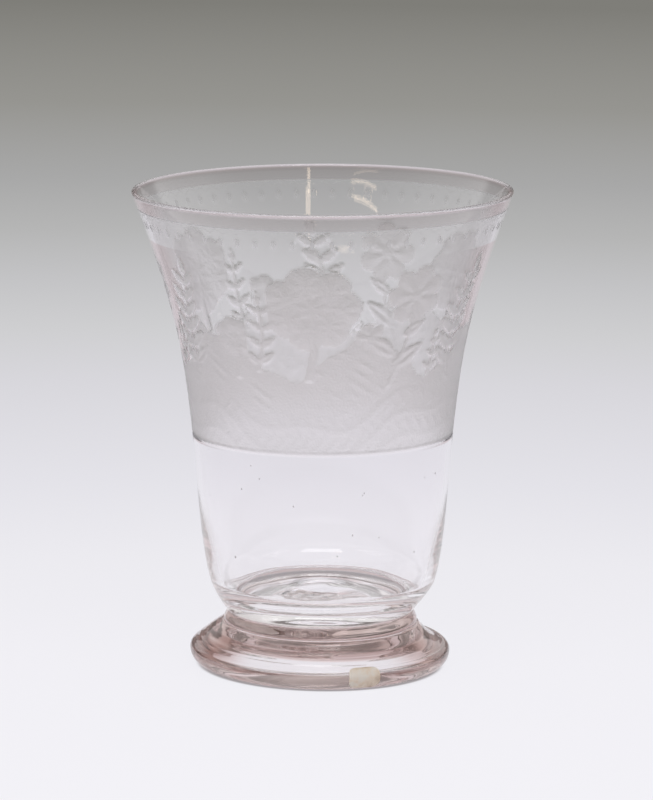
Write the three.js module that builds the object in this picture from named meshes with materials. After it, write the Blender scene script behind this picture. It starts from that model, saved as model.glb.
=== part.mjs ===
// A footed drinking beaker of thin, faintly pink glass. A blown bowl flares from a heavy,
// rounded heel to a fire-polished lip. A wafer of glass joins it to a spread foot with a
// thick rounded rim and a raised underside, where the pontil rod left its scar. A small
// painted patch lies on the rim of the foot.
// Millimetres, +Z up. The origin is on the table, under the middle of the lip, and the
// front, with the patch, faces -Y.

import * as THREE from 'three';

// Driving dimensions, overall. The height is taken on the axis of the bowl.
const overallHeight = 114.4;
const lipRadius = 45.0;
const footRadius = 31.1;

// Bowl, outside: three curves that meet at the heel and at the slimmest part of the body
const waistRadius = 22.2;
const waistHeight = 13.2;
const heelRadius = 27.0;
const heelRise = 7.8;
const bodyRadius = 31.0;
const bodyHeight = 56.0;

// Flare of the outside where its curves meet, as radius gained per height, and how far each
// curve keeps the flare of its lower and upper end, as shares of its rise
const waistFlare = 0.71;
const heelFlare = 0.29;
const bodyFlare = 0.106;
const lipFlare = 0.38;
const heelHold = [0.26, 0.36];
const bodyHold = [0.22, 0.26];
const flareHold = [0.34, 0.48];

// Bowl, inside: the wall, and a floor with a low rise in the middle
const lipThickness = 1.2;
const wallThickness = 1.15;
const heelWallThickness = 2.1;
const floorThickness = 4.2;
const floorRadius = 18.4;
const floorRise = 0.9;
const floorRiseRadius = 9.6;

// Wafer between bowl and foot, widest near its lower edge
const collarRadius = 23.1;
const collarUndercut = 0.4;
const collarBottomHeight = 10.3;

// Foot: a narrow ledge round the wafer, a hollow flare that runs out into a round rim at a
// slope in degrees, and a raised underside
const seatStep = 0.7;
const rimSlope = 25;
const rimLead = 2.8;
const rimUpperRound = 1.8;
const rimLowerRound = 3.6;
const restWidth = 2.0;
const kickHeight = 6.6;

// Hand-made glass is a little out of true: the bowl leans on its foot, in degrees, the waist
// and foot stand off the bowl's axis, and the flare of the foot is higher on one side.
const bowlLean = 0.9;
const waistOffset = 0.55;
const flareUneven = 0.75;
const jointClearance = 0.05;

// Scar of the pontil rod: a ragged ring of glass in the middle of the raised underside
const scarRadius = 7.4;
const scarThickness = 1.4;
const scarOffset = 2.0;
const scarRagged = 0.13;
const scarMargin = 0.5;

// Painted patch, wrapped over the rim of the foot. It starts just above the table and goes up
// along the outline of the foot. Its turn is in degrees from the front.
const patchWidth = 7.6;
const patchLength = 5.7;
const patchStart = 2.5;
const patchTurn = 20;
const patchThickness = 0.22;
const patchClearance = 0.06;
const patchCorner = 0.16;

// Faces round a full turn, and along each curve of the wall
const roundSegments = 64;
const scarSegments = 28;
const heelSteps = 5;
const bodySteps = 4;
const flareSteps = 9;

const glass = new THREE.MeshStandardMaterial({ color: 0xe9e2e4, roughness: 0.04, metalness: 0 });
const thickGlass = new THREE.MeshStandardMaterial({ color: 0xcbb7b8, roughness: 0.05, metalness: 0 });
const brokenGlass = new THREE.MeshStandardMaterial({ color: 0x9c8a88, roughness: 0.6, metalness: 0 });
const creamPaint = new THREE.MeshStandardMaterial({ color: 0xd9d2c2, roughness: 0.6, metalness: 0 });

function point(radius, height) {
  return new THREE.Vector2(radius, height);
}

// Joins stretches of outline, each a curve and its number of steps, into one list of points.
function outline(...stretches) {
  const points = [];
  for (const [curve, steps] of stretches) {
    for (const next of curve.getPoints(steps)) {
      const last = points[points.length - 1];
      if (!last || last.distanceTo(next) > 1e-4) points.push(next);
    }
  }
  return points;
}

function line(from, to) {
  return [new THREE.LineCurve(from, to), 1];
}

function arc(centre, radius, fromDegrees, toDegrees, steps) {
  const from = THREE.MathUtils.degToRad(fromDegrees);
  const to = THREE.MathUtils.degToRad(toDegrees);
  return [new THREE.EllipseCurve(centre.x, centre.y, radius, radius, from, to, to < from), steps];
}

function bezier(...corners) {
  return new THREE.CubicBezierCurve(...corners);
}

// A stretch of wall between two points, leaving and arriving at the flares given.
function wallCurve(low, lowFlare, high, highFlare, [lowHold, highHold]) {
  const rise = high.y - low.y;
  return bezier(
    low,
    point(low.x + lowHold * rise * lowFlare, low.y + lowHold * rise),
    point(high.x - highHold * rise * highFlare, high.y - highHold * rise),
    high,
  );
}

// A turned body: the outline stands in the plane of radius and height, and is spun about Z.
function turned(points, segments = roundSegments) {
  const geometry = new THREE.LatheGeometry(points, segments);
  geometry.rotateX(Math.PI / 2);
  return geometry;
}

// Moves every vertex of a geometry to the place that a function gives for it.
function reshape(geometry, place) {
  const position = geometry.attributes.position;
  const vertex = new THREE.Vector3();
  for (let index = 0; index < position.count; index += 1) {
    vertex.fromBufferAttribute(position, index);
    place(vertex);
    position.setXYZ(index, vertex.x, vertex.y, vertex.z);
  }
  return geometry;
}

function named(name, geometry, material) {
  const mesh = new THREE.Mesh(geometry, material);
  mesh.name = name;
  return mesh;
}

// The lip is a half round, tangent to the flared wall on both sides.
const heelTop = waistHeight + heelRise;
const lipRound = lipThickness / 2;
const lipCentre = point(lipRadius - lipRound, overallHeight - lipRound);
const lipTilt = THREE.MathUtils.radToDeg(Math.atan(lipFlare));
const lipStart = arc(lipCentre, lipRound, -lipTilt, 0, 1)[0].getPoint(0);

// The outside of the bowl, from the waist up to the lip
const waist = point(waistRadius, waistHeight);
const heel = point(heelRadius, heelTop);
const body = point(bodyRadius, bodyHeight);
const heelCurve = wallCurve(waist, waistFlare, heel, heelFlare, heelHold);
const bodyCurve = wallCurve(heel, heelFlare, body, bodyFlare, bodyHold);
const flareCurve = wallCurve(body, bodyFlare, lipStart, lipFlare, flareHold);

// The wall thickens a little towards the lip, and more towards the heel.
function wallAt(height) {
  const towardsLip = THREE.MathUtils.smoothstep(height, bodyHeight, lipStart.y);
  const towardsHeel = 1 - THREE.MathUtils.smoothstep(height, heelTop, (heelTop + bodyHeight) / 2);
  return wallThickness
    + (lipThickness - wallThickness) * towardsLip
    + (heelWallThickness - wallThickness) * towardsHeel;
}

// The inside of a stretch of wall, from its top down: the outside moved in, square to it.
function insideOf(curve, steps) {
  const points = [];
  for (let step = steps; step >= 0; step -= 1) {
    const outside = curve.getPoint(step / steps);
    const along = curve.getTangent(step / steps);
    points.push(point(-along.y, along.x).multiplyScalar(wallAt(outside.y)).add(outside));
  }
  return points;
}

function makeBowl() {
  const floorHeight = waistHeight + floorThickness;
  const outside = outline(
    line(point(0, waistHeight), waist),
    [heelCurve, heelSteps],
    [bodyCurve, bodySteps],
    [flareCurve, flareSteps],
    arc(lipCentre, lipRound, -lipTilt, 180 - lipTilt, 6),
  );
  const inside = [...insideOf(flareCurve, flareSteps).slice(1), ...insideOf(bodyCurve, bodySteps).slice(1)];
  const innerHeel = inside[inside.length - 1];
  const innerDrop = 0.35 * (innerHeel.y - floorHeight);
  const intoFloor = bezier(
    innerHeel,
    point(innerHeel.x - innerDrop * heelFlare, innerHeel.y - innerDrop),
    point(THREE.MathUtils.lerp(floorRadius, innerHeel.x, 0.5), floorHeight),
    point(floorRadius, floorHeight),
  );
  const ontoRise = bezier(
    point(floorRiseRadius, floorHeight),
    point(0.55 * floorRiseRadius, floorHeight),
    point(0.45 * floorRiseRadius, floorHeight + floorRise),
    point(0, floorHeight + floorRise),
  );
  const floor = outline([intoFloor, 5], [ontoRise, 4]);
  const geometry = reshape(turned([...outside, ...inside, ...floor.slice(1)]), (vertex) => {
    vertex.x -= waistOffset * (1 - THREE.MathUtils.smoothstep(vertex.z, waistHeight, heelTop));
  });
  return named('bowl', geometry, glass);
}

// The wafer is a wedge: its top follows the underside of the leaning bowl.
const leanSlope = Math.tan(THREE.MathUtils.degToRad(bowlLean));

function makeCollar() {
  const height = waistHeight - collarBottomHeight;
  const bottomRadius = collarRadius - collarUndercut;
  const edge = bezier(
    point(bottomRadius, collarBottomHeight),
    point(collarRadius + 1.4 * collarUndercut, collarBottomHeight + 0.13 * height),
    point(THREE.MathUtils.lerp(waistRadius, collarRadius, 0.6), collarBottomHeight + 0.58 * height),
    waist,
  );
  const points = outline(
    line(point(0, collarBottomHeight), point(bottomRadius, collarBottomHeight)),
    [edge, 7],
    line(waist, point(0, waistHeight)),
  );
  const geometry = reshape(turned(points), (vertex) => {
    const rise = (vertex.x - waistOffset) * leanSlope - jointClearance;
    vertex.z += rise * (vertex.z - collarBottomHeight) / height;
  });
  return named('junction_collar', geometry, thickGlass);
}

// The rim of the foot has a smaller round above its widest line than below it. The flare runs
// down to it from the seat of the wafer and is tangent to it.
const rimUpperCentre = point(footRadius - rimUpperRound, rimLowerRound);
const rimLowerCentre = point(footRadius - rimLowerRound, rimLowerRound);
const seat = point(collarRadius - collarUndercut + seatStep, collarBottomHeight);
const rimTop = arc(rimUpperCentre, rimUpperRound, 90 - rimSlope, 0, 4);
const rimBottom = arc(rimLowerCentre, rimLowerRound, 0, -90, 6);
const rimStart = rimTop[0].getPoint(0);
const flareCorner = rimTop[0].getTangent(0).multiplyScalar(-rimLead).add(rimStart);
const flare = new THREE.QuadraticBezierCurve(seat, flareCorner, rimStart);
const kickFlatRadius = scarOffset + scarRadius * (1 + scarRagged) + scarMargin;

// How far the flare is lowered at a radius, for each millimetre to the right of the foot's axis
function unevenAt(radius) {
  const share = THREE.MathUtils.clamp((radius - seat.x) / (rimStart.x - seat.x), 0, 1);
  return flareUneven * Math.sin(Math.PI * share) / footRadius;
}

function makeFoot() {
  const restInside = point(rimLowerCentre.x - restWidth, 0);
  const kick = bezier(
    restInside,
    point(restInside.x - 0.2 * (restInside.x - kickFlatRadius), 0.4 * kickHeight),
    point(THREE.MathUtils.lerp(kickFlatRadius, restInside.x, 0.4), kickHeight),
    point(kickFlatRadius, kickHeight),
  );
  const points = outline(
    line(point(0, seat.y), seat),
    [flare, 6],
    rimTop,
    rimBottom,
    line(rimLowerCentre.clone().setY(0), restInside),
    [kick, 7],
    line(point(kickFlatRadius, kickHeight), point(0, kickHeight)),
  );
  const geometry = reshape(turned(points.reverse()), (vertex) => {
    const onTop = vertex.z > rimUpperCentre.y;
    if (onTop) vertex.z -= unevenAt(Math.hypot(vertex.x, vertex.y)) * vertex.x;
  });
  return named('foot', geometry, thickGlass);
}

// The rod's wad of glass broke off unevenly: its edge and its broken face both wander.
function makeScar() {
  const middle = point(0, kickHeight - 0.35 * scarThickness);
  const hollow = point(0.31 * scarRadius, kickHeight - 0.4 * scarThickness);
  const crest = point(0.62 * scarRadius, kickHeight - 0.8 * scarThickness);
  const edge = point(scarRadius, kickHeight - 0.3 * scarThickness);
  const root = point(0.94 * scarRadius, kickHeight);
  const profile = [middle, hollow, crest, edge, root, point(0, kickHeight)];
  const geometry = reshape(turned(profile, scarSegments), (vertex) => {
    const angle = Math.atan2(vertex.y, vertex.x);
    const reach = Math.hypot(vertex.x, vertex.y) / scarRadius;
    const wander = 0.6 * Math.sin(3 * angle + 0.7) + 0.4 * Math.sin(7 * angle + 2.1);
    const broken = Math.sin(4 * angle + 1.3) * Math.cos(9 * angle);
    vertex.x *= 1 + scarRagged * wander * reach;
    vertex.y *= 1 + scarRagged * wander * reach;
    if (vertex.z < kickHeight - 1e-3) vertex.z -= 0.2 * scarThickness * broken * reach;
    vertex.x -= scarOffset;
  });
  return named('pontil_scar', geometry, brokenGlass);
}

// A thin plate with rounded corners, bent round the foot and laid along its outline.
function makePatch() {
  const halfTurn = patchWidth / 2 / footRadius;
  const middle = THREE.MathUtils.degToRad(patchTurn - 90);
  const downwards = [flare, rimTop[0], rimBottom[0]];
  const lengths = downwards.map((curve) => curve.getLength());
  const whole = lengths.reduce((sum, length) => sum + length);
  const geometry = reshape(new THREE.BoxGeometry(2, 2, 1, 10, 9, 1), (vertex) => {
    const across = vertex.x * (1 - patchCorner * Math.abs(vertex.y) ** 5);
    const up = (vertex.y * (1 - patchCorner * Math.abs(vertex.x) ** 5) + 1) / 2;
    let along = whole - patchStart - patchLength * up;
    let piece = 0;
    while (piece < downwards.length - 1 && along > lengths[piece]) {
      along -= lengths[piece];
      piece += 1;
    }
    const share = along / lengths[piece];
    const under = downwards[piece].getPointAt(share);
    const tangent = downwards[piece].getTangentAt(share);
    const reach = patchClearance + (vertex.z + 0.5) * patchThickness;
    const radius = under.x - tangent.y * reach;
    vertex.x = radius * Math.cos(middle + across * halfTurn);
    vertex.y = radius * Math.sin(middle + across * halfTurn);
    vertex.z = under.y + tangent.x * reach;
    if (vertex.z > rimUpperCentre.y) vertex.z -= unevenAt(radius) * vertex.x;
  });
  return named('inventory_patch', geometry, creamPaint);
}

// The bowl turns about the middle of its underside, which stands off the foot's axis.
const foot = new THREE.Group();
foot.position.x = -waistOffset;
foot.add(makeCollar(), makeFoot(), makeScar(), makePatch());

const bowl = makeBowl();
bowl.position.z = -waistHeight;
const leaningBowl = new THREE.Group();
leaningBowl.position.z = waistHeight;
leaningBowl.rotation.y = -THREE.MathUtils.degToRad(bowlLean);
leaningBowl.add(bowl);

const beaker = new THREE.Group();
beaker.position.x = (lipCentre.y - waistHeight) * Math.sin(THREE.MathUtils.degToRad(bowlLean));
beaker.add(leaningBowl, foot);

export default beaker;
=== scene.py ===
# A footed drinking beaker of thin, faintly pink glass, with a matt engraved band round its
# flared bowl. It stands on a pale table that fades to grey behind it.

import math

import bmesh
import bpy
from mathutils import Matrix, Vector, noise
from mathutils.geometry import interpolate_bezier


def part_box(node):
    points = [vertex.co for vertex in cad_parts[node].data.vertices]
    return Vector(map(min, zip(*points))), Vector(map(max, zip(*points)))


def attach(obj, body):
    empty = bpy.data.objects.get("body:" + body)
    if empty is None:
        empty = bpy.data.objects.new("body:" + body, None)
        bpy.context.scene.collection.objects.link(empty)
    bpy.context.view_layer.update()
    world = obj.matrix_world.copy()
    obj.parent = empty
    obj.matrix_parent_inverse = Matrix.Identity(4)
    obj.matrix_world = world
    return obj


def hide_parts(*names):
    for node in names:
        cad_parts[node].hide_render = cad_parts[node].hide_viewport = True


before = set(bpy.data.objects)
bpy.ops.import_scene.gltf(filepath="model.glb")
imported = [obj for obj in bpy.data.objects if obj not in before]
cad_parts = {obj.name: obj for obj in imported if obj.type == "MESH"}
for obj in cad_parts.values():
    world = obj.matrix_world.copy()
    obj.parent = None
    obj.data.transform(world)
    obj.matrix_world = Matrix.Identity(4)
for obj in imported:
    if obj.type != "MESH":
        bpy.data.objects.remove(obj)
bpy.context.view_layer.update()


# Camera
# A long lens looks down on the beaker a little from the front, with the image a touch out
# of level, as the photograph was taken. Places are in millimetres and turns in degrees.
MM = 0.001
CAMERA_PLACE = (1.69, -1050.0, 260.07)
CAMERA_PITCH = 10.59
CAMERA_ROLL = 0.9
LENS = 202.4
SENSOR_WIDTH = 36.0
NEAREST, FARTHEST = 0.05, 50.0

camera_data = bpy.data.cameras.new("camera")
camera_data.lens = LENS
camera_data.sensor_width = SENSOR_WIDTH
camera_data.clip_start = NEAREST
camera_data.clip_end = FARTHEST
camera = bpy.data.objects.new("camera", camera_data)
bpy.context.scene.collection.objects.link(camera)
camera.matrix_world = (
    Matrix.Translation(Vector(CAMERA_PLACE) * MM)
    @ Matrix.Rotation(math.radians(90 - CAMERA_PITCH), 4, "X")
    @ Matrix.Rotation(math.radians(CAMERA_ROLL), 4, "Z")
)
bpy.context.scene.camera = camera


# Foot
# A gather of glass dropped on the wafer and spread with wet wooden jacks into a sloping disc.
# Its edge was fire-polished into a thick round rim, and its underside was pushed up so that
# the beaker stands on a narrow ring and the broken pontil doesn't scratch the table.
FOOT_RADIUS = 31.1
SEAT = (23.4, 10.3)
WELD_RADIUS = 22.7
RIM_SLOPE = 25.0
RIM_LEAD = 2.8
RIM_UPPER_ROUND = 1.8
RIM_LOWER_ROUND = 3.6
REST_WIDTH = 2.0
KICK_HEIGHT = 6.6
KICK_FLAT = 10.86
FOOT_TURNS = 288
# Two places this close count as touching, and two points this close become one
TOUCH = 0.01
SAME_POINT = 1e-4

foot_low, foot_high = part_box("foot")
foot_axis = Vector(((foot_low.x + foot_high.x) / 2, 0.0, 0.0))
foot_place = Matrix.Translation(foot_axis / MM)


def curve(start, leave, arrive, end, steps):
    """Points of a cubic curve in the plane of radius and height."""
    corners = [Vector((r, 0.0, z)) for r, z in (start, leave, arrive, end)]
    return interpolate_bezier(*corners, steps + 1)


def arc(centre, radius, first, last, steps):
    """Points of a round in the plane of radius and height, with its angles in degrees."""
    angles = [math.radians(first + (last - first) * i / steps) for i in range(steps + 1)]
    middle = Vector((centre[0], 0.0, centre[1]))
    return [middle + radius * Vector((math.cos(a), 0.0, math.sin(a))) for a in angles]


def straight(start, end, steps):
    """Points of a straight line in the plane of radius and height."""
    first, last = Vector((start[0], 0.0, start[1])), Vector((end[0], 0.0, end[1]))
    return [first.lerp(last, i / steps) for i in range(steps + 1)]


def turned(outline, turns, sectors=12):
    """A closed turned body, in millimetres, from an outline that starts and ends on the axis.
    One sector is spun and then copied round. The layer keeps each vertex's row in the outline."""
    mesh = bmesh.new()
    row_layer = mesh.verts.layers.float.new("row")
    verts = []
    for index, point in enumerate(outline):
        if index == 0 or (point - outline[index - 1]).length > SAME_POINT:
            verts.append(mesh.verts.new(point))
            verts[-1][row_layer] = index
    edges = [mesh.edges.new(pair) for pair in zip(verts, verts[1:])]
    spin = {"cent": (0, 0, 0), "axis": (0, 0, 1)}
    sector = math.tau / sectors
    bmesh.ops.spin(mesh, geom=verts + edges, angle=sector, steps=turns // sectors, **spin)
    whole = mesh.verts[:] + mesh.edges[:] + mesh.faces[:]
    rest = math.tau - sector
    bmesh.ops.spin(mesh, geom=whole, angle=rest, steps=sectors - 1, use_duplicate=True, **spin)
    bmesh.ops.remove_doubles(mesh, verts=mesh.verts, dist=SAME_POINT)
    bmesh.ops.recalc_face_normals(mesh, faces=mesh.faces)
    return mesh


def smooth(value, low, high):
    """0 below the low value, 1 above the high one, and an even rise between them."""
    share = min(1.0, max(0.0, (value - low) / (high - low)))
    return share * share * (3 - 2 * share)


rim_upper = (FOOT_RADIUS - RIM_UPPER_ROUND, RIM_LOWER_ROUND)
rim_lower = (FOOT_RADIUS - RIM_LOWER_ROUND, RIM_LOWER_ROUND)
rim_start = arc(rim_upper, RIM_UPPER_ROUND, 90 - RIM_SLOPE, 0, 1)[0]
slope = math.radians(RIM_SLOPE)
flare_corner = rim_start + RIM_LEAD * Vector((-math.cos(slope), 0.0, math.sin(slope)))
rest_inside = rim_lower[0] - REST_WIDTH
kick_run = rest_inside - KICK_FLAT


def flare_curve(steps):
    """The top of the foot, from the wafer down to the rim, which it meets without a crease."""
    start = Vector((SEAT[0], 0.0, SEAT[1]))
    leave, arrive = start.lerp(flare_corner, 2 / 3), rim_start.lerp(flare_corner, 2 / 3)
    return interpolate_bezier(start, leave, arrive, rim_start, steps + 1)


# The pontil scar is fused to the underside, so the foot shares the scar's ragged outline.
SCAR_RADIUS = 7.4
SCAR_ROOT = 0.94 * SCAR_RADIUS
SCAR_OFFSET = 2.0
SCAR_RAGGED = 0.13


def ragged(co):
    """Moves a point of a round scar about the foot's axis to its ragged, off-centre place."""
    angle = math.atan2(co.y, co.x)
    reach = math.hypot(co.x, co.y) / SCAR_RADIUS
    wander = 0.6 * math.sin(3 * angle + 0.7) + 0.4 * math.sin(7 * angle + 2.1)
    grow = 1 + SCAR_RAGGED * wander * reach
    return Vector((co.x * grow - SCAR_OFFSET, co.y * grow, co.z))


foot_outline = (
    straight((0, KICK_HEIGHT), (SCAR_ROOT, KICK_HEIGHT), 3)
    + straight((SCAR_ROOT, KICK_HEIGHT), (KICK_FLAT, KICK_HEIGHT), 2)
    + curve(
        (KICK_FLAT, KICK_HEIGHT),
        (KICK_FLAT + 0.4 * kick_run, KICK_HEIGHT),
        (rest_inside - 0.2 * kick_run, 0.4 * KICK_HEIGHT),
        (rest_inside, 0),
        26,
    )
    + straight((rest_inside, 0), (rim_lower[0], 0), 2)
    + arc(rim_lower, RIM_LOWER_ROUND, -90, 0, 18)
    + arc(rim_upper, RIM_UPPER_ROUND, 0, 90 - RIM_SLOPE, 12)
    + list(reversed(flare_curve(40)))
    + straight(SEAT, (WELD_RADIUS, SEAT[1]), 1)
    + straight((WELD_RADIUS, SEAT[1]), (0, SEAT[1]), 3)
)
foot_mesh = turned(foot_outline, FOOT_TURNS)

# Tooling by hand left the flare lower on one side, with two fine ridges near the rim and soft
# cords and lines round it, and a slight wave in the kick. Each ridge is its radius and height.
FLARE_UNEVEN = 0.75
TOOL_RIDGES = ((28.7, 0.08), (29.9, 0.06))
RIDGE_REACH = 0.22
CORD_HEIGHT = 0.15
LINE_HEIGHT = 0.05
KICK_WAVE = 0.16


def flare_drop(co):
    """How much lower the flare of this foot is on one side."""
    radius = math.hypot(co.x, co.y)
    share = min(1.0, max(0.0, (radius - SEAT[0]) / (rim_start.x - SEAT[0])))
    return FLARE_UNEVEN * math.sin(math.pi * share) * co.x / FOOT_RADIUS


def tool_marks(co):
    """The height that the jacks left on the flare. The cords are shallow at the two sides."""
    radius = math.hypot(co.x, co.y)
    angle = math.atan2(co.y, co.x)
    ridges = sum(h * math.exp(-(((radius - r) / RIDGE_REACH) ** 2)) for r, h in TOOL_RIDGES)
    drift = radius * 1.3 + 0.55 * math.sin(angle + 0.8) + 0.3 * math.sin(2 * angle + 2.0)
    cords = noise.noise(Vector((drift * 0.85, 1.6 * math.cos(angle), 1.6 * math.sin(angle))))
    lines = noise.noise(Vector((drift * 2.6, 1.1 * math.cos(angle) + 5, 1.1 * math.sin(angle))))
    marks = CORD_HEIGHT * cords + LINE_HEIGHT * lines
    marks *= 1 - 0.7 * smooth(abs(co.x) / radius, 0.6, 0.9)
    return ridges + marks * smooth(radius, 23.6, 24.6) * (1 - smooth(radius, 30.2, 31.0))


# How brown the glass looks: round the wafer, round the rim's widest line, on the lower half of the rim
# and at the foot's two sides, where the brown is deepened by painted shade, inside the kick and
# everywhere else.
BROWN_WAFER = 0.9
BROWN_WIDEST = 0.72
LOWER_RIM_SHADE = 0.75
SIDES_SHADE = 0.87
BROWN_KICK = 0.06
BROWN_LEAST = 0.03


def brown_and_shade_share(co):
    """How brown the glass looks at a place, deepened by painted shade on the lower half of the rim and
    at the two sides. The back is paler, where the streaks run out.
    """
    radius = math.hypot(co.x, co.y)
    if co.z <= RIM_LOWER_ROUND and radius > rest_inside:
        # The lower half of the rim is darkened with painted shade.
        share = LOWER_RIM_SHADE * smooth(radius, rim_lower[0] + 0.8, rim_lower[0] + 2.0)
    elif co.z > RIM_LOWER_ROUND and radius > SEAT[0] - TOUCH:
        near_wafer = BROWN_WAFER * (1 - smooth(radius, 27.0, 28.2))
        front = 0.12 + 0.88 * smooth(-co.y / radius, -0.5, 0.5)
        widest = BROWN_WIDEST * smooth(radius, FOOT_RADIUS - 0.15, FOOT_RADIUS - 0.01)
        share = max(near_wafer * front, widest)
    else:
        return BROWN_KICK
    # The foot's two sides are darkened with painted shade.
    sides = smooth(abs(co.x) / radius, 0.5, 0.88) * smooth(radius, 26.5, 28.0)
    return BROWN_LEAST + max(share, sides * (SIDES_SHADE - 0.12 * co.x / radius))


# Each vertex keeps its share of brown, deepened by painted shade at the foot's sides and under its
# rim.
foot_brown_and_shade = foot_mesh.verts.layers.float.new("brown_and_shade")
for vert in foot_mesh.verts:
    radius = math.hypot(vert.co.x, vert.co.y)
    vert[foot_brown_and_shade] = brown_and_shade_share(vert.co)
    if vert.co.z > RIM_LOWER_ROUND and radius > SEAT[0]:
        vert.co.z += tool_marks(vert.co) - flare_drop(vert.co)
    elif KICK_FLAT < radius < rest_inside and TOUCH < vert.co.z < KICK_HEIGHT - TOUCH:
        angle = math.atan2(vert.co.y, vert.co.x)
        round_at = Vector((1.2 * math.cos(angle), 1.2 * math.sin(angle), radius * 0.6))
        vert.co.z += KICK_WAVE * noise.noise(round_at) * smooth(vert.co.z, 0.0, 1.2)
    if abs(vert.co.z - KICK_HEIGHT) < TOUCH and radius < SCAR_ROOT + TOUCH:
        vert.co = ragged(vert.co)


def weld(mesh, joined):
    """Gives the joint's material to the faces whose corners all lie in a hot joint."""
    for face in mesh.faces:
        face.material_index = int(all(joined(vert.co) for vert in face.verts))


def in_foot_joint(co):
    in_top = math.hypot(co.x, co.y) < WELD_RADIUS + TOUCH
    in_scar = math.hypot(co.x + SCAR_OFFSET, co.y) < 1.1 * SCAR_RADIUS
    return (in_top and abs(co.z - SEAT[1]) < TOUCH) or (in_scar and abs(co.z - KICK_HEIGHT) < TOUCH)


weld(foot_mesh, in_foot_joint)


def linear(hex_colour):
    """The linear RGBA of an sRGB hex colour."""
    channels = [int(hex_colour[i : i + 2], 16) / 255 for i in (1, 3, 5)]
    bent = [c / 12.92 if c <= 0.04045 else ((c + 0.055) / 1.055) ** 2.4 for c in channels]
    return (*bent, 1.0)


def new_material(name):
    material = bpy.data.materials.new(name)
    material.use_nodes = True
    material.node_tree.nodes.clear()
    return material, material.node_tree


def add_node(tree, kind, inputs=None, stops=(), **settings):
    """Adds a node with its settings. An input is given a value, or what it is linked to: an
    output, or a node, which stands for its first output. Stops are a ramp's places and colours,
    and the first two of them move the two that a new ramp has."""
    node = tree.nodes.new(kind)
    for name, value in settings.items():
        setattr(node, name, value)
    for name, value in (inputs or {}).items():
        if isinstance(value, bpy.types.Node):
            value = value.outputs[0]
        if isinstance(value, bpy.types.NodeSocket):
            tree.links.new(value, node.inputs[name])
        else:
            node.inputs[name].default_value = value
    for index, (position, colour) in enumerate(stops):
        elements = node.color_ramp.elements
        stop = elements[index] if index < 2 else elements.new(position)
        stop.position = position
        stop.color = linear(colour)
    return node


# Soda glass that was tooled hot: clear and glossy, with the brownish pink that manganese gives it
# where it is thick, and streaks that run round the foot. The share of brown, deepened by painted shade
# at the foot's sides and under its rim, is kept on the mesh, and the streaks are about 1.1 mm apart.
STREAK_SPACING = 1.111
SODA_IOR = 1.5


def tooled_glass():
    material, tree = new_material("tooled_soda_glass")
    place = add_node(tree, "ShaderNodeTexCoord").outputs["Object"]
    parts = add_node(tree, "ShaderNodeSeparateXYZ", {0: place})
    level = add_node(tree, "ShaderNodeCombineXYZ", {"X": parts.outputs["X"], "Y": parts.outputs["Y"]})
    reach = add_node(tree, "ShaderNodeVectorMath", {0: level}, operation="LENGTH").outputs["Value"]
    heading = add_node(tree, "ShaderNodeVectorMath", {0: level}, operation="NORMALIZE")
    across = add_node(tree, "ShaderNodeMath", {0: reach, 1: parts.outputs["Z"]}, operation="SUBTRACT")
    per_metre = 1 / (STREAK_SPACING * MM)
    count = add_node(tree, "ShaderNodeMath", {0: across, 1: per_metre}, operation="MULTIPLY")
    shift = add_node(tree, "ShaderNodeCombineXYZ", {"Z": count})
    streak_at = add_node(tree, "ShaderNodeVectorMath", {0: heading, 1: shift}, operation="ADD")
    cords = add_node(tree, "ShaderNodeTexNoise", {"Vector": streak_at, "Scale": 1.0, "Detail": 2.0})
    uneven = add_node(tree, "ShaderNodeMath", {0: cords, 1: 0.5}, operation="ADD")
    # The share of brown, which also carries painted shade at the foot's sides and under its rim.
    brown_and_shade = add_node(tree, "ShaderNodeAttribute", attribute_name="brown_and_shade").outputs["Fac"]
    streaked = add_node(tree, "ShaderNodeMath", {0: brown_and_shade, 1: uneven}, operation="MULTIPLY")
    tint = add_node(tree, "ShaderNodeValToRGB", {"Fac": streaked}, stops=(
        (0.0, "#FEFCFD"), (1.0, "#A07C76"), (0.25, "#F6ECEB"), (0.6, "#DCC0BB"),
    ))
    glass = add_node(tree, "ShaderNodeBsdfPrincipled", {
        "Base Color": tint, "Roughness": 0.0, "IOR": SODA_IOR, "Transmission Weight": 1.0,
    })
    add_node(tree, "ShaderNodeOutputMaterial", {"Surface": glass})
    return material


# Where two gathers were joined hot there is no surface between them, so light goes straight on.
def hot_joint():
    material, tree = new_material("hot_joint")
    open_way = add_node(tree, "ShaderNodeBsdfTransparent")
    add_node(tree, "ShaderNodeOutputMaterial", {"Surface": open_way})
    return material


def finish_piece(name, mesh, materials, place):
    """Turns a bmesh in millimetres into an object in metres, with its place in its mesh."""
    if "row" in mesh.verts.layers.float:
        mesh.verts.layers.float.remove(mesh.verts.layers.float["row"])
    bmesh.ops.transform(mesh, matrix=Matrix.Scale(MM, 4) @ place, verts=mesh.verts)
    for face in mesh.faces:
        face.smooth = True
    data = bpy.data.meshes.new(name)
    mesh.to_mesh(data)
    mesh.free()
    for material in materials:
        data.materials.append(material)
    piece = bpy.data.objects.new(name, data)
    bpy.context.scene.collection.objects.link(piece)
    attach(piece, "root")
    return piece


FOOT_GLASS = tooled_glass()
JOINT = hot_joint()
foot = finish_piece("foot_glass_piece", foot_mesh, [FOOT_GLASS, JOINT], foot_place)
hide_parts("foot")


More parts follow.
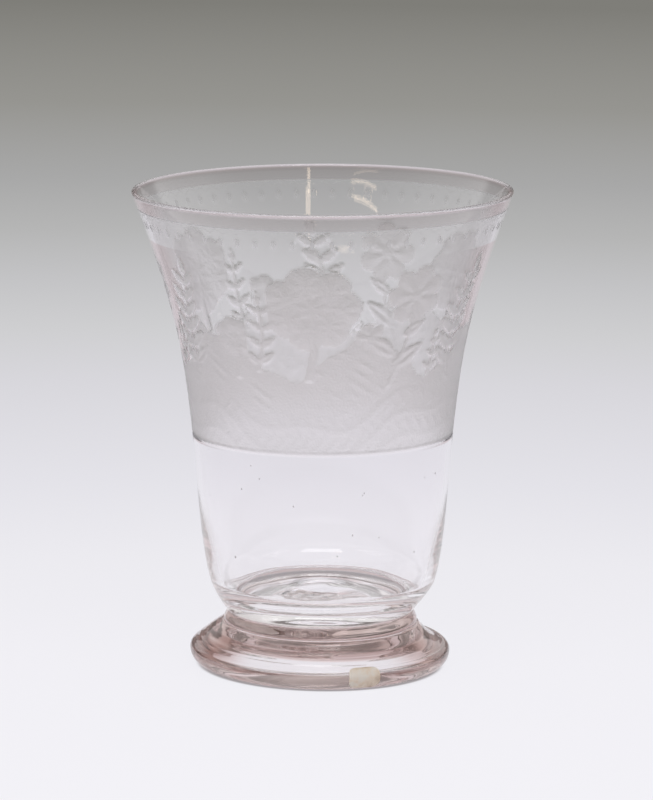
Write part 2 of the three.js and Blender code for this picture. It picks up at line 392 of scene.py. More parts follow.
# Wafer
# The small disc of hot glass that joins the bowl to the foot. It was squeezed between them,
# so it bulges near the foot, and it is a wedge, because the bowl leans a little on it.
COLLAR_RADIUS = 23.1
COLLAR_UNDERCUT = 0.4
WAIST_RADIUS = 22.2
WAIST_HEIGHT = 13.2
WAIST_OFFSET = 0.55
BOWL_LEAN = math.radians(0.9)
collar_low = SEAT[1]
collar_rise = WAIST_HEIGHT - collar_low
collar_outline = (
    straight((0, collar_low), (WELD_RADIUS, collar_low), 3)
    + curve(
        (WELD_RADIUS, collar_low),
        (COLLAR_RADIUS + 1.4 * COLLAR_UNDERCUT, collar_low + 0.13 * collar_rise),
        (WAIST_RADIUS + 0.6 * (COLLAR_RADIUS - WAIST_RADIUS), collar_low + 0.58 * collar_rise),
        (WAIST_RADIUS, WAIST_HEIGHT),
        18,
    )
    + straight((WAIST_RADIUS, WAIST_HEIGHT), (0, WAIST_HEIGHT), 3)
)
collar_mesh = turned(collar_outline, FOOT_TURNS)
weld(collar_mesh, lambda co: min(abs(co.z - collar_low), abs(co.z - WAIST_HEIGHT)) < TOUCH)
collar_brown = collar_mesh.verts.layers.float.new("brown_and_shade")
for vert in collar_mesh.verts:
    vert[collar_brown] = 0.05 + 0.85 * smooth(-vert.co.y / COLLAR_RADIUS, -0.5, 0.5)
    lift = (vert.co.x - WAIST_OFFSET) * math.tan(BOWL_LEAN)
    vert.co.z += lift * (vert.co.z - collar_low) / collar_rise
collar = finish_piece("wafer_glass_piece", collar_mesh, [FOOT_GLASS, JOINT], foot_place)
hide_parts("junction_collar")


# Bowl
# Blown on the iron, then flared and opened on the pontil, so it is thick at the heel and
# thin at the lip, which was rounded in the fire. Its outside is wheel-engraved afterwards.
OVERALL_HEIGHT = 114.4
LIP_RADIUS = 45.0
LIP_THICKNESS = 1.2
LIP_FLARE = 0.38
WALL = 1.15
HEEL_WALL = 2.1
FLOOR_HEIGHT = WAIST_HEIGHT + 4.2
FLOOR_RADIUS = 18.4
FLOOR_RISE = 0.9
FLOOR_RISE_RADIUS = 9.6
# The wall's waist, heel and body, each a radius, a height and how much it flares there
WAIST = (WAIST_RADIUS, WAIST_HEIGHT, 0.71)
HEEL = (27.0, 21.0, 0.29)
BODY = (31.0, 56.0, 0.106)
# How finely the bowl is divided, round it and up the engraved part
BOWL_TURNS = 480
FRIEZE_ROWS = 123

lip_round = LIP_THICKNESS / 2
lip_centre = (LIP_RADIUS - lip_round, OVERALL_HEIGHT - lip_round)
lip_tilt = math.degrees(math.atan(LIP_FLARE))
lip_start = arc(lip_centre, lip_round, -lip_tilt, 0, 1)[0]
lip_end = (lip_start.x, lip_start.z, LIP_FLARE)


def wall_curve(low, high, low_hold, high_hold, steps):
    """A stretch of wall between two places. A hold is how far it keeps a place's flare."""
    rise = high[1] - low[1]
    leave = (low[0] + low_hold * rise * low[2], low[1] + low_hold * rise)
    arrive = (high[0] - high_hold * rise * high[2], high[1] - high_hold * rise)
    return curve(low[:2], leave, arrive, high[:2], steps)


def wall_at(height):
    """How thick the wall is at a height."""
    to_lip = smooth(height, BODY[1], lip_start.z)
    to_heel = 1 - smooth(height, HEEL[1], (HEEL[1] + BODY[1]) / 2)
    return WALL + (LIP_THICKNESS - WALL) * to_lip + (HEEL_WALL - WALL) * to_heel


def inside_of(points):
    """The inside of a stretch of wall: each point moved in, square to the outside."""
    moved = []
    for index, here in enumerate(points):
        before, after = points[max(index - 1, 0)], points[min(index + 1, len(points) - 1)]
        along = (after - before).normalized()
        moved.append(here + Vector((-along.z, 0.0, along.x)) * wall_at(here.z))
    return moved


bottom = straight((0, WAIST_HEIGHT), (WAIST_RADIUS, WAIST_HEIGHT), 2)
outer_low = wall_curve(WAIST, HEEL, 0.26, 0.36, 12) + wall_curve(HEEL, BODY, 0.22, 0.26, 8)
# Rows crowd together below the frieze, so that its cut edge stays crisp
outer_low[-1:] = [outer_low[-2].lerp(outer_low[-1], share) for share in (0.86, 0.93, 0.97, 1.0)]
outer_high = wall_curve(BODY, lip_end, 0.34, 0.48, FRIEZE_ROWS)
inner_high = list(reversed(inside_of(wall_curve(BODY, lip_end, 0.34, 0.48, 14))))[1:]
inner_low = list(reversed(inside_of(wall_curve(HEEL, BODY, 0.22, 0.26, 8))))[1:]
inner_heel = inner_low[-1]
drop = 0.35 * (inner_heel.z - FLOOR_HEIGHT)
floor_curve = curve(
    (inner_heel.x, inner_heel.z),
    (inner_heel.x - drop * HEEL[2], inner_heel.z - drop),
    ((FLOOR_RADIUS + inner_heel.x) / 2, FLOOR_HEIGHT),
    (FLOOR_RADIUS, FLOOR_HEIGHT),
    10,
)
rise_curve = curve(
    (FLOOR_RISE_RADIUS, FLOOR_HEIGHT),
    (0.55 * FLOOR_RISE_RADIUS, FLOOR_HEIGHT),
    (0.45 * FLOOR_RISE_RADIUS, FLOOR_HEIGHT + FLOOR_RISE),
    (0.0, FLOOR_HEIGHT + FLOOR_RISE),
    6,
)
lip_arc = arc(lip_centre, lip_round, -lip_tilt, 180 - lip_tilt, 14)
near_lip = [lip_arc[-1].lerp(inner_high[0], share) for share in (0.05, 0.2, 0.5)]
outside = bottom + outer_low + outer_high
inside = near_lip + inner_high + inner_low + floor_curve + rise_curve
bowl_mesh = turned(outside + lip_arc + inside, BOWL_TURNS)

# The engraving is a landscape that comes three times round the bowl: two ranges of ground, a
# round-headed tree, a tall flower and a leafy bough. Places are millimetres along the
# wall from the middle of one repeat, and heights above the table. Each shape below gives how
# deep it is cut at a place, from 0 outside it to 1.
REPEATS = 3
REPEAT_WIDTH = math.tau * 36.0 / REPEATS
FRIEZE_LOW = 56.0
FRIEZE_HIGH = 104.2
CUT_DEPTH = 0.23
LEAF_TURN = 0.62


def leaf(x, z, root, turn, length, width):
    """A pointed leaf with a raised midrib."""
    out, up = x - root[0], z - root[1]
    along = (out * math.cos(turn) + up * math.sin(turn)) / length
    if not 0.0 < along < 1.0:
        return 0.0
    half = width * math.sin(math.pi * along**0.8)
    across = abs(up * math.cos(turn) - out * math.sin(turn)) / half
    return 0.12 + 0.7 * math.sin(math.pi * across) if across < 1 else 0.0


def stem(x, z, low, high, bend, half):
    """A bent stem between two places, which is half as thick at its top."""
    rise = (z - low[1]) / (high[1] - low[1])
    if not 0.0 < rise < 1.0:
        return 0.0
    middle = low[0] + (high[0] - low[0]) * rise + bend * math.sin(math.pi * rise)
    across = abs(x - middle) / (half * (1 - 0.5 * rise))
    return 0.9 * (1 - across**2) if across < 1 else 0.0


def bough(x, z, low, high, bend, pairs, length):
    """A stem with pairs of leaves, which get shorter towards its tip."""
    deepest = stem(x, z, low, high, bend, 0.7)
    for index in range(pairs):
        rise = (index + 0.5) / pairs
        middle = low[0] + (high[0] - low[0]) * rise + bend * math.sin(math.pi * rise)
        root = (middle, low[1] + (high[1] - low[1]) * rise)
        size = length * (1 - 0.45 * rise)
        for turn in (LEAF_TURN, math.pi - LEAF_TURN):
            deepest = max(deepest, leaf(x, z, root, turn, size, 0.2 * size))
    return max(deepest, leaf(x, z, high, math.pi / 2, 0.6 * length, 0.13 * length))


def flower(x, z, middle, radius, petals):
    """An open flower with rounded petals round a domed heart."""
    out, up = x - middle[0], z - middle[1]
    reach = math.hypot(out, up) / radius
    petal = abs(math.sin(petals / 2 * math.atan2(up, out)))
    if reach < 0.24:
        return 1 - 2.5 * reach
    if reach > 0.7 + 0.3 * petal**0.6:
        return 0.0
    return 0.12 + 0.8 * petal * (1.1 - reach)


def round_tree(x, z, root, middle, radius):
    """A tree whose head is a ring of seven rounded clumps about an eighth."""
    deepest = stem(x, z, root, middle, 0.8, 1.5)
    for index in range(8):
        angle = math.tau * index / 7
        away = 0.0 if index == 7 else 0.6 * radius
        out = x - middle[0] - away * math.cos(angle)
        up = z - middle[1] - 0.85 * away * math.sin(angle)
        reach = math.hypot(out, up) / (0.46 * radius)
        if reach < 1:
            tufts = 0.85 + 0.15 * math.sin(7 * math.atan2(up, out))
            deepest = max(deepest, (0.2 + 0.8 * (1 - reach**2)) * tufts)
    return deepest


def two_hills(x, z):
    """Two ranges of ground, with furrows in the near one and slanting strokes in the far one."""
    wave = math.tau * x / REPEAT_WIDTH
    near = 69.0 + 3.4 * math.sin(wave + 0.5) + 1.6 * math.sin(3 * wave + 1.2)
    far = 79.5 + 5.2 * math.sin(2 * wave + 2.9) + 0.8 * math.sin(7 * wave)
    if z < near:
        tufts = abs(math.sin(0.9 * x + 1.1 * math.sin(0.8 * z))) ** 6
        furrow = abs(math.sin(0.55 * (near - z) + 1.2 * math.sin(wave) + 0.5)) ** 8
        return 0.25 + 0.35 * smooth(near - z, 0.0, 2.5) * max(0.7 * furrow, 0.6 * tufts)
    if z < far:
        patches = noise.noise(Vector((0.16 * x, 0.2 * z, 3.0)))
        strokes = abs(math.sin(1.1 * (0.6 * x + z))) ** 6 * smooth(patches, -0.1, 0.35)
        return 0.15 + 0.15 * smooth(far - z, 0.0, 3.0) + 0.3 * strokes
    return 0.0


def engraved(x, z):
    """The whole frieze, which has a deep cut line along its lower edge."""
    if z < FRIEZE_LOW + 0.2 or z > FRIEZE_HIGH:
        return 0.0
    if z < FRIEZE_LOW + 0.75:
        return 1.0
    return max(
        two_hills(x, z),
        round_tree(x, z, (-22.0, 74.0), (-21.0, 91.5), 10.5),
        round_tree(x, z, (34.5, 74.0), (34.5, 84.0), 5.0),
        stem(x, z, (-2.0, 72.0), (3.0, 92.0), 1.6, 0.8),
        flower(x, z, (3.0, 94.0), 7.2, 7),
        leaf(x, z, (-1.0, 77.0), 0.55, 10.0, 2.1),
        leaf(x, z, (-0.6, 80.0), 2.6, 9.5, 2.0),
        leaf(x, z, (1.2, 84.5), 0.5, 6.5, 1.4),
        flower(x, z, (-7.5, 84.5), 3.6, 5),
        bough(x, z, (19.0, 74.0), (22.0, 97.0), -2.2, 6, 8.2),
        bough(x, z, (-35.0, 76.0), (-33.5, 92.0), 1.0, 4, 5.4),
        bough(x, z, (10.5, 74.0), (11.5, 83.0), 0.5, 3, 3.6),
    )


# Under the lip runs a border: a plain band, a line, 74 chevrons, and 60 little upright ovals
# that are cut as real hollows. The band and the lines are a middle height and half a width.
LIP_BAND = (112.0, 1.4)
LIP_LINE = (110.5, 0.16)
CHEVRONS = 74
CHEVRON_LINE = (110.2, 0.2)
CHEVRON_FALL = 2.2
OVALS = 60
OVAL_HEIGHT = 107.2
OVAL_HALF = (0.5, 0.95)
OVAL_SPACING = 4.4
OVAL_DEPTH = 0.05


def oval(angle, radius, z):
    """How deep the hollow of an oval is at a place, from 0 outside it to 1."""
    turn = (angle * OVALS / math.tau) % 1.0 - 0.5
    across = turn * math.tau * radius / OVALS
    reach = math.hypot(across / (1.25 * OVAL_HALF[0]), (z - OVAL_HEIGHT) / OVAL_HALF[1])
    return max(0.0, 1 - reach**2)


def pink_tone(co, on_outside):
    """How deep the glass's pink looks at a place. It is deepest where the wall is seen through
    its thickness: on the lip, most at its inner edge and its two ends, and round the waist."""
    radius = max(math.hypot(co.x, co.y), 1.0)
    outer = min(1.0, max(0.0, (radius - LIP_RADIUS + LIP_THICKNESS) / LIP_THICKNESS))
    ends = smooth(abs(co.x) / radius, 0.8, 1.0) * smooth(-co.y, -4.0, 6.0)
    on_lip = smooth(co.z, OVERALL_HEIGHT - 1.8, OVERALL_HEIGHT - 0.8)
    lip = (0.7 - 0.5 * outer + 0.6 * ends) * on_lip
    front = 0.1 + 0.9 * smooth(-co.y / radius, -0.2, 0.7)
    waist = 0.9 * front * (1 - smooth(co.z, WAIST_HEIGHT + 0.3, WAIST_HEIGHT + 1.3))
    return lip + (waist if on_outside else 0.0)


# The mesh keeps how matt and how pink each vertex is, and where it was before the bowl leant.
# Vertices that aren't on the outside are given a height above every motif.
NOT_OUTSIDE = 200.0
row_layer = bowl_mesh.verts.layers.float["row"]
matt_layer = bowl_mesh.verts.layers.float.new("matt")
tone_layer = bowl_mesh.verts.layers.float.new("tone")
wall_layer = bowl_mesh.verts.layers.float_vector.new("wall_place")
first_row, last_row = len(bottom + outer_low), len(outside)
cuts = {}
for vert in bowl_mesh.verts:
    row = vert[row_layer]
    angle = math.atan2(vert.co.y, vert.co.x)
    radius = math.hypot(vert.co.x, vert.co.y)
    on_outside = len(bottom) <= row < last_row
    vert[tone_layer] = pink_tone(vert.co, on_outside)
    vert[wall_layer] = (vert.co.x, vert.co.y, vert.co.z if on_outside else NOT_OUTSIDE)
    if first_row <= row < last_row:
        turn = (angle / math.tau * REPEATS) % 1.0 - 0.5
        spot = (round(turn * 1e4), row)
        if spot not in cuts:
            cuts[spot] = engraved(turn * REPEAT_WIDTH, vert.co.z)
        vert[matt_layer] = smooth(cuts[spot], 0.0, 0.12)
        inwards = CUT_DEPTH * cuts[spot] + OVAL_DEPTH * oval(angle, radius, vert.co.z)
        vert.co.x -= inwards * math.cos(angle)
        vert.co.y -= inwards * math.sin(angle)
    vert.co.x -= WAIST_OFFSET * (1 - smooth(vert.co.z, WAIST_HEIGHT, HEEL[1]))
weld(bowl_mesh, lambda co: abs(co.z - WAIST_HEIGHT) < TOUCH)

# Seeds: small bubbles that stayed in the wall when it was blown. Each is an angle from the
# front in degrees, a height and a radius.
SEEDS = (
    (-39, 47, 0.17), (-33, 53, 0.14), (-29, 50, 0.15), (-13, 44, 0.17), (19, 47, 0.14),
    (14, 37, 0.17), (27, 36, 0.14), (61, 49, 0.2), (-46, 30, 0.22), (7, 32, 0.14),
    (49, 31, 0.16), (120, 42, 0.16), (160, 35, 0.14), (210, 48, 0.17), (255, 39, 0.15),
)
SEED_STRETCH = 1.5
SEED_DEPTH = 0.55
for degrees, height, seed_radius in SEEDS:
    outer = next(p.x for p in outer_low + outer_high if p.z >= height)
    radius = outer - SEED_DEPTH * wall_at(height)
    angle = math.radians(degrees - 90)
    middle = Vector((radius * math.cos(angle), radius * math.sin(angle), height))
    stretch = Matrix.Diagonal((seed_radius, seed_radius, SEED_STRETCH * seed_radius, 1.0))
    seed = bmesh.ops.create_icosphere(
        bowl_mesh, subdivisions=2, radius=1.0, matrix=Matrix.Translation(middle) @ stretch
    )
    for vert in seed["verts"]:
        vert[wall_layer] = (0.0, 0.0, NOT_OUTSIDE)
    shell = {face for vert in seed["verts"] for face in vert.link_faces}
    bmesh.ops.reverse_faces(bowl_mesh, faces=list(shell))

# Engraved soda glass: fire-polished where it is clear, ground matt by the wheel elsewhere. The
# border is too fine for the mesh, so it is drawn here by angle and height. The grit of the
# wheel is near 0.1 mm, too fine to show, so its grain is drawn about 0.5 mm wide.
GRAIN_WIDTH = 0.5263
GRAIN_DEPTH = 0.2
GRAIN_STRENGTH = 0.25
MATT_ROUGHNESS = 0.38
CHEVRON_SHARE = 0.6
OVAL_SHARE = 0.8
BAND_TONE = 0.5
# Where the upper wall is seen at a slant, the light goes through more glass and it looks deeper.
# Each zone is the middle of its height, half its height, and its share of the full tone.
SLANT_TONE = 0.9
SLANT_ZONES = ((79.5, 24.0, 1.0), (107.5, 4.0, 0.45), (*LIP_BAND, 1.0))


def engraved_glass():
    material, tree = new_material("blown_soda_glass")
    matt = add_node(tree, "ShaderNodeAttribute", attribute_name="matt").outputs["Fac"]
    where = add_node(tree, "ShaderNodeAttribute", attribute_name="wall_place").outputs["Vector"]
    parts = add_node(tree, "ShaderNodeSeparateXYZ", {0: where})
    height = parts.outputs["Z"]
    angle = add_node(
        tree, "ShaderNodeMath", {0: parts.outputs["Y"], 1: parts.outputs["X"]}, operation="ARCTAN2",
    )

    def from_middle(count, scale):
        """How far a place is from the middle of one of so many motifs, times the scale."""
        turns = add_node(tree, "ShaderNodeMath", {0: angle, 1: count / math.tau}, operation="MULTIPLY")
        share = add_node(tree, "ShaderNodeMath", {0: turns}, operation="FRACT")
        off = add_node(tree, "ShaderNodeMath", {0: share, 1: 0.5}, operation="SUBTRACT")
        off = add_node(tree, "ShaderNodeMath", {0: off}, operation="ABSOLUTE")
        return add_node(tree, "ShaderNodeMath", {0: off, 1: scale}, operation="MULTIPLY")

    def within(value, middle, half, share):
        """The share where the value is within half of the middle, and 0 elsewhere."""
        band = {0: value, 1: middle, 2: half}
        mask = add_node(tree, "ShaderNodeMath", band, operation="COMPARE")
        return add_node(tree, "ShaderNodeMath", {0: mask, 1: share}, operation="MULTIPLY")

    fall = from_middle(CHEVRONS, CHEVRON_FALL)
    zigzag = add_node(tree, "ShaderNodeMath", {0: height, 1: fall}, operation="ADD")
    across = from_middle(OVALS, OVAL_SPACING / OVAL_HALF[0])
    above = add_node(tree, "ShaderNodeMath", {0: height, 1: OVAL_HEIGHT}, operation="SUBTRACT")
    above = add_node(tree, "ShaderNodeMath", {0: above, 1: OVAL_HALF[1]}, operation="DIVIDE")
    offset = add_node(tree, "ShaderNodeCombineXYZ", {"X": across, "Y": above})
    reach = add_node(tree, "ShaderNodeVectorMath", {0: offset}, operation="LENGTH").outputs["Value"]
    line = within(height, *LIP_LINE, 1.0)
    chevrons = within(zigzag, *CHEVRON_LINE, CHEVRON_SHARE)
    ovals = within(reach, 0.0, 1.0, OVAL_SHARE)
    ground = matt
    for mask in (line, chevrons, ovals):
        ground = add_node(tree, "ShaderNodeMath", {0: ground, 1: mask}, operation="MAXIMUM")
    rough = add_node(tree, "ShaderNodeMath", {0: ground, 1: MATT_ROUGHNESS}, operation="MULTIPLY")

    place = add_node(tree, "ShaderNodeTexCoord").outputs["Object"]
    grain = add_node(tree, "ShaderNodeTexNoise", {
        "Vector": place, "Scale": 1 / (GRAIN_WIDTH * MM), "Detail": 1.0,
    })
    strength = add_node(tree, "ShaderNodeMath", {0: matt, 1: GRAIN_STRENGTH}, operation="MULTIPLY")
    bump = add_node(tree, "ShaderNodeBump", {
        "Height": grain, "Strength": strength, "Distance": GRAIN_DEPTH * MM,
    })

    facing = add_node(tree, "ShaderNodeLayerWeight", {"Blend": 0.5}).outputs["Facing"]
    slant = add_node(tree, "ShaderNodeMapRange", {
        "Value": facing, "From Min": 0.35, "From Max": 0.7, "To Min": 0.0, "To Max": SLANT_TONE,
    })
    zones = 0.0
    for zone in SLANT_ZONES:
        deeper = within(height, *zone)
        zones = add_node(tree, "ShaderNodeMath", {0: zones, 1: deeper}, operation="MAXIMUM")
    slanted = add_node(tree, "ShaderNodeMath", {0: slant, 1: zones}, operation="MULTIPLY")
    tone = add_node(tree, "ShaderNodeAttribute", attribute_name="tone").outputs["Fac"]
    for deeper in (within(height, *LIP_BAND, BAND_TONE), slanted):
        tone = add_node(tree, "ShaderNodeMath", {0: tone, 1: deeper}, operation="MAXIMUM")
    clear = add_node(tree, "ShaderNodeValToRGB", {"Fac": tone}, stops=(
        (0.0, "#FEFDFE"), (1.0, "#C4A6A3"), (0.5, "#E0DADA"),
    ))
    tint = add_node(
        tree, "ShaderNodeMix", {"Factor": matt, 6: clear, 7: linear("#FEFAF9")}, data_type="RGBA",
    )
    glass = add_node(tree, "ShaderNodeBsdfPrincipled", {
        "Base Color": tint.outputs[2], "Roughness": rough, "Normal": bump,
        "IOR": SODA_IOR, "Transmission Weight": 1.0,
    })
    add_node(tree, "ShaderNodeOutputMaterial", {"Surface": glass})
    return material


bowl_shift = (lip_centre[1] - WAIST_HEIGHT) * math.sin(BOWL_LEAN)
bowl_place = (
    Matrix.Translation((bowl_shift, 0, WAIST_HEIGHT))
    @ Matrix.Rotation(-BOWL_LEAN, 4, "Y")
    @ Matrix.Translation((0, 0, -WAIST_HEIGHT))
)
bowl = finish_piece("bowl_glass_piece", bowl_mesh, [engraved_glass(), JOINT], bowl_place)
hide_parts("bowl")


# Pontil scar
# The wad of glass that stayed on the foot when the beaker was cracked off its pontil rod.
# Its edge and its broken face are rough, so it looks grey and dark through the floor.
SCAR_THICK = 1.4
CHIP_HEIGHT = 0.3
scar_under = KICK_HEIGHT - 0.35 * SCAR_THICK
scar_hollow = (0.31 * SCAR_RADIUS, KICK_HEIGHT - 0.4 * SCAR_THICK)
scar_ring = (0.62 * SCAR_RADIUS, KICK_HEIGHT - 0.8 * SCAR_THICK)
scar_edge = (SCAR_RADIUS, KICK_HEIGHT - 0.3 * SCAR_THICK)
scar_outline = (
    straight((0, scar_under), scar_hollow, 3)
    + straight(scar_hollow, scar_ring, 6)
    + straight(scar_ring, scar_edge, 6)
    + straight(scar_edge, (SCAR_ROOT, KICK_HEIGHT), 2)
    + straight((SCAR_ROOT, KICK_HEIGHT), (0, KICK_HEIGHT), 3)
)
scar_mesh = turned(scar_outline, FOOT_TURNS)
weld(scar_mesh, lambda co: abs(co.z - KICK_HEIGHT) < TOUCH)
for vert in scar_mesh.verts:
    if vert.co.z < KICK_HEIGHT - TOUCH:
        chips = noise.noise(vert.co * 0.9) + 0.7 * noise.noise(vert.co * 2.3)
        vert.co.z = min(KICK_HEIGHT - 0.05, vert.co.z + CHIP_HEIGHT * chips)
    vert.co = ragged(vert.co)

# Broken soda glass: snapped off cold, so shell-shaped chips about 1.6 mm wide leave it rough
# and smoky in some places and nearly clear in others.
CHIP_WIDTH = 1.613


def broken_glass():
    material, tree = new_material("broken_soda_glass")
    place = add_node(tree, "ShaderNodeTexCoord").outputs["Object"]
    chips = add_node(tree, "ShaderNodeTexNoise", {
        "Vector": place, "Scale": 1 / (CHIP_WIDTH * MM), "Detail": 3.0,
    })
    tint = add_node(tree, "ShaderNodeValToRGB", {"Fac": chips}, stops=(
        (0.38, "#6F5A52"), (0.62, "#DDD0CC"), (0.5, "#A8938C"),
    ))
    rough = add_node(tree, "ShaderNodeMapRange", {
        "Value": chips, "From Min": 0.35, "From Max": 0.65, "To Min": 0.6, "To Max": 0.15,
    })
    glass = add_node(tree, "ShaderNodeBsdfPrincipled", {
        "Base Color": tint, "Roughness": rough, "IOR": SODA_IOR, "Transmission Weight": 1.0,
    })
    add_node(tree, "ShaderNodeOutputMaterial", {"Surface": glass})
    return material


scar = finish_piece("pontil_scar_piece", scar_mesh, [broken_glass(), JOINT], foot_place)
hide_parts("pontil_scar")


# Inventory patch
# A small patch of cream paint, brushed by hand on the rim of the foot and left bare. It
# follows the rim, with soft edges and a slightly uneven outline.
PATCH_WIDTH = 7.6
PATCH_LENGTH = 5.7
PATCH_START = 2.5
PATCH_TURN = 20.0
PATCH_LIFT = 0.06
PATCH_THICK = 0.22
PATCH_CORNER = 0.17
PATCH_WANDER = 0.035
BRUSH_HEIGHT = 0.05

rim_line = (
    arc(rim_lower, RIM_LOWER_ROUND, -90, 0, 40)
    + arc(rim_upper, RIM_UPPER_ROUND, 0, 90 - RIM_SLOPE, 30)[1:]
    + list(reversed(flare_curve(60)))[1:]
)
rim_lengths = [0.0]
for before, after in zip(rim_line, rim_line[1:]):
    rim_lengths.append(rim_lengths[-1] + (after - before).length)


def on_rim(along, lift):
    """The radius and height at a length along the rim's outline, lifted off it."""
    index = next(i for i, length in enumerate(rim_lengths) if length >= along)
    before, after = rim_line[index - 1], rim_line[index]
    share = (along - rim_lengths[index - 1]) / (rim_lengths[index] - rim_lengths[index - 1])
    run = (after - before).normalized()
    return before.lerp(after, share) + lift * Vector((run.z, 0.0, -run.x))


patch_mesh = bmesh.new()
bmesh.ops.create_cube(patch_mesh, size=2.0)
bmesh.ops.subdivide_edges(patch_mesh, edges=patch_mesh.edges[:], cuts=19, use_grid_fill=True)
for vert in patch_mesh.verts:
    x, y, z = vert.co
    edge = smooth(max(abs(x), abs(y)), 0.82, 1.0)
    x, y = x * (1 - PATCH_CORNER * abs(y) ** 5), y * (1 - PATCH_CORNER * abs(x) ** 5)
    wander = 1 + PATCH_WANDER * noise.noise(Vector((1.4 * x, 1.4 * y, 4.0)))
    brushed = BRUSH_HEIGHT * noise.noise(Vector((6.0 * x, 1.5 * y, 0.0)))
    thick = PATCH_THICK * (1 - 0.4 * edge) + brushed * (1 - edge)
    lift = PATCH_LIFT + (thick if z > 0 else 0.0)
    point = on_rim(PATCH_START + PATCH_LENGTH * (y * wander + 1) / 2, lift)
    angle = math.radians(PATCH_TURN - 90) + x * wander * PATCH_WIDTH / 2 / FOOT_RADIUS
    vert.co = Vector((point.x * math.cos(angle), point.x * math.sin(angle), point.z))
    if vert.co.z > RIM_LOWER_ROUND:
        vert.co.z -= flare_drop(vert.co)
bmesh.ops.recalc_face_normals(patch_mesh, faces=patch_mesh.faces)

# Cream paint: brushed on thinly and gone dull, with darker smudges about 2.4 mm wide.
SMUDGE_WIDTH = 2.381


def cream_paint():
    material, tree = new_material("cream_paint")
    place = add_node(tree, "ShaderNodeTexCoord").outputs["Object"]
    smudge = add_node(tree, "ShaderNodeTexNoise", {
        "Vector": place, "Scale": 1 / (SMUDGE_WIDTH * MM), "Detail": 3.0,
    })
    colour = add_node(tree, "ShaderNodeValToRGB", {"Fac": smudge}, stops=(
        (0.30, "#D6C2AE"), (0.62, "#FAF2E7"), (0.48, "#F6E6D4"),
    ))
    paint = add_node(tree, "ShaderNodeBsdfPrincipled", {"Base Color": colour, "Roughness": 0.6})
    add_node(tree, "ShaderNodeOutputMaterial", {"Surface": paint})
    return material


patch = finish_piece("inventory_patch_piece", patch_mesh, [cream_paint()], foot_place)
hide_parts("inventory_patch")


# Table
# A seamless sheet of pale paper, painted brightest round the beaker and fading to grey with distance,
# as its light falls off, and with a painted shade in a narrow ring under the foot. Each fade is
# distances from its centre, in metres, with the painted tone there.
TABLE_RADIUS = 8.0
TABLE_GAP = 0.05
FADE_CENTRE = (0.0, -0.3)
FADE_REACH = 2.4
FADE = (
    (0.177, "#F2F1F6"), (0.307, "#F0EFF4"), (0.417, "#EBEAEF"), (0.516, "#E3E2E8"),
    (0.677, "#D7D6DB"), (0.774, "#CECED0"), (0.881, "#C3C3C5"), (1.005, "#B5B5B5"),
    (1.151, "#A8A8A8"), (1.421, "#969591"), (1.922, "#7F7E79"),
)
SHADE_REACH = 0.05
SHADE = (
    (0.026, "#FFFFFF"), (0.02975, "#FFFFFF"), (0.027, "#ABA5A5"), (0.02875, "#ABA5A5"),
)
SHOWN_STRENGTH = 1.04
SHOWN_SHARE = 0.92

table_mesh = bmesh.new()
bmesh.ops.create_circle(table_mesh, cap_ends=True, segments=96, radius=TABLE_RADIUS)
table_data = bpy.data.meshes.new("table")
table_mesh.to_mesh(table_data)
table_mesh.free()
table = bpy.data.objects.new("table", table_data)
table.location.z = -TABLE_GAP * MM
bpy.context.scene.collection.objects.link(table)


def pale_paper():
    material, tree = new_material("pale_paper")
    place = add_node(tree, "ShaderNodeTexCoord").outputs["Object"]
    tones = []
    for centre, reach, stops in (
        (FADE_CENTRE, FADE_REACH, FADE), ((foot_axis.x, 0.0), SHADE_REACH, SHADE),
    ):
        centred = add_node(tree, "ShaderNodeMapping", {
            "Vector": place, "Location": (-centre[0], -centre[1], 0.0),
        })
        away = add_node(tree, "ShaderNodeVectorMath", {0: centred}, operation="LENGTH")
        share = add_node(
            tree, "ShaderNodeMath", {0: away.outputs["Value"], 1: 1 / reach}, operation="MULTIPLY",
        )
        shares = [(distance / reach, colour) for distance, colour in stops]
        tones.append(add_node(tree, "ShaderNodeValToRGB", {"Fac": share}, stops=shares))
    both = {0: 1.0, 6: tones[0], 7: tones[1]}
    paper_light_and_shade = add_node(tree, "ShaderNodeMix", both, data_type="RGBA", blend_type="MULTIPLY").outputs[2]
    # The camera sees the paper at its painted tone of light and shade, also in the glass, and it is
    # lit as well
    lit = add_node(tree, "ShaderNodeBsdfDiffuse", {"Color": paper_light_and_shade})
    shown = add_node(tree, "ShaderNodeEmission", {"Color": paper_light_and_shade, "Strength": SHOWN_STRENGTH})
    ray = add_node(tree, "ShaderNodeLightPath")
    seen = ray.outputs["Is Camera Ray"]
    for other in ("Is Glossy Ray", "Is Transmission Ray"):
        seen = add_node(tree, "ShaderNodeMath", {0: seen, 1: ray.outputs[other]}, operation="MAXIMUM")
    amount = add_node(tree, "ShaderNodeMath", {0: seen, 1: SHOWN_SHARE}, operation="MULTIPLY")
    mixed = add_node(tree, "ShaderNodeMixShader", {0: amount, 1: lit, 2: shown})
    add_node(tree, "ShaderNodeOutputMaterial", {"Surface": mixed})
    return material


table_data.materials.append(pale_paper())


# Light
# Soft light at a plain level comes from the room, and a large lamp overhead adds a little form.
# Narrow warm window panes behind the camera draw bright lines on the inside of the bowl.
world = bpy.data.worlds.new("room")
bpy.context.scene.world = world
world.use_nodes = True
world.node_tree.nodes.clear()

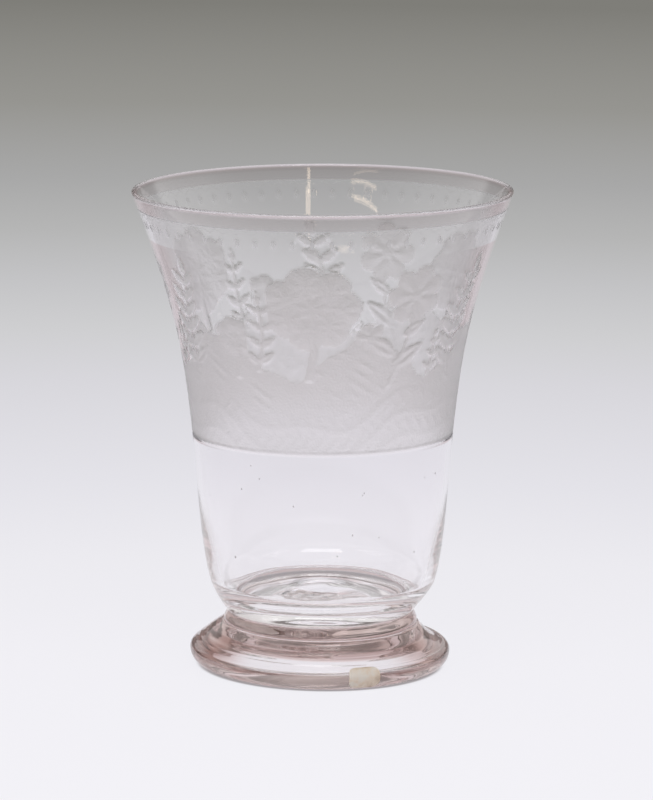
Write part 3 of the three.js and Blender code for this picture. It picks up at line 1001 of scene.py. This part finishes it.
# The room goes by the sine of a direction's height: grey near the horizon, a pale band above
# it, grey again, and paler once more in the ceiling overhead.
ROOM = (
    (0.0, "#7C7876"), (1.0, "#D2D0CF"), (0.165, "#7C7876"), (0.205, "#ECEAEA"), (0.40, "#E8E6E5"),
    (0.50, "#A6A4A3"), (0.62, "#929090"), (0.80, "#A8A6A4"),
)
direction = add_node(world.node_tree, "ShaderNodeTexCoord").outputs["Generated"]
room_parts = add_node(world.node_tree, "ShaderNodeSeparateXYZ", {0: direction})
room = add_node(world.node_tree, "ShaderNodeValToRGB", {"Fac": room_parts.outputs["Z"]}, stops=ROOM)
backdrop = add_node(world.node_tree, "ShaderNodeBackground", {"Color": room, "Strength": 1.0})
add_node(world.node_tree, "ShaderNodeOutputWorld", {"Surface": backdrop})


def area_light(name, size, power, colour):
    """A rectangular lamp, whose size is in metres and whose power is in watts."""
    data = bpy.data.lights.new(name, "AREA")
    data.shape = "RECTANGLE"
    data.size, data.size_y = size
    data.energy = power
    data.color = linear(colour)[:3]
    lamp = bpy.data.objects.new(name, data)
    bpy.context.scene.collection.objects.link(lamp)
    return lamp


OVERHEAD_PLACE = Vector((0.0, -0.5, 1.2))
OVERHEAD_AIM = Vector((0.0, 0.0, 0.05))
overhead = area_light("overhead", (0.7, 0.5), 3.6, "#FFFFFF")
overhead_turn = (OVERHEAD_AIM - OVERHEAD_PLACE).to_track_quat("-Z", "Y").to_matrix()
overhead.matrix_world = Matrix.Translation(OVERHEAD_PLACE) @ overhead_turn.to_4x4()

# A pane is its two ends, each how far left and up it stands as seen from the bowl in degrees,
# then its width in metres and its power for each square metre.
WARM = "#FFE8CC"
BOWL_MIDDLE = Vector((0.0, 0.04, 0.11))
PANE_DISTANCE = 2.0
PANES = (
    ((-8.9, 34.4), (-9.3, 32.1), 0.07, 11.0), ((-9.8, 32.1), (-10.3, 29.8), 0.12, 10.0),
    ((21.4, 32.8), (38.0, 31.6), 0.011, 7.0), ((20.5, 32.1), (38.0, 30.0), 0.014, 9.0),
    ((21.0, 30.7), (40.3, 27.6), 0.018, 11.0), ((12.0, 25.0), (24.4, 24.4), 0.035, 6.0),
    ((-10.0, 27.5), (-10.1, 26.9), 0.05, 9.0),
)


def seen_from_bowl(left, up):
    """The place of a point of the window that is seen from the bowl in a direction."""
    left, up = math.radians(left), math.radians(up)
    return BOWL_MIDDLE + PANE_DISTANCE * Vector((-math.sin(left), -math.cos(left), math.tan(up)))


for index, (first, last, width, glow) in enumerate(PANES):
    start, end = seen_from_bowl(*first), seen_from_bowl(*last)
    middle, length = start.lerp(end, 0.5), (end - start).length
    pane = area_light("pane_%d" % index, (width, length), glow * width * length, WARM)
    away = (middle - BOWL_MIDDLE).normalized()
    across = (end - start).cross(away).normalized()
    turn = Matrix((across, away.cross(across), away)).transposed()
    pane.matrix_world = Matrix.Translation(middle) @ turn.to_4x4()

# Light goes through many faces of a glass before it leaves it, so no path is cut short.
cycles = bpy.context.scene.cycles
cycles.max_bounces = 64
cycles.transmission_bounces = 64
cycles.glossy_bounces = 48
cycles.transparent_max_bounces = 48
bpy.context.scene.view_settings.view_transform = "Standard"
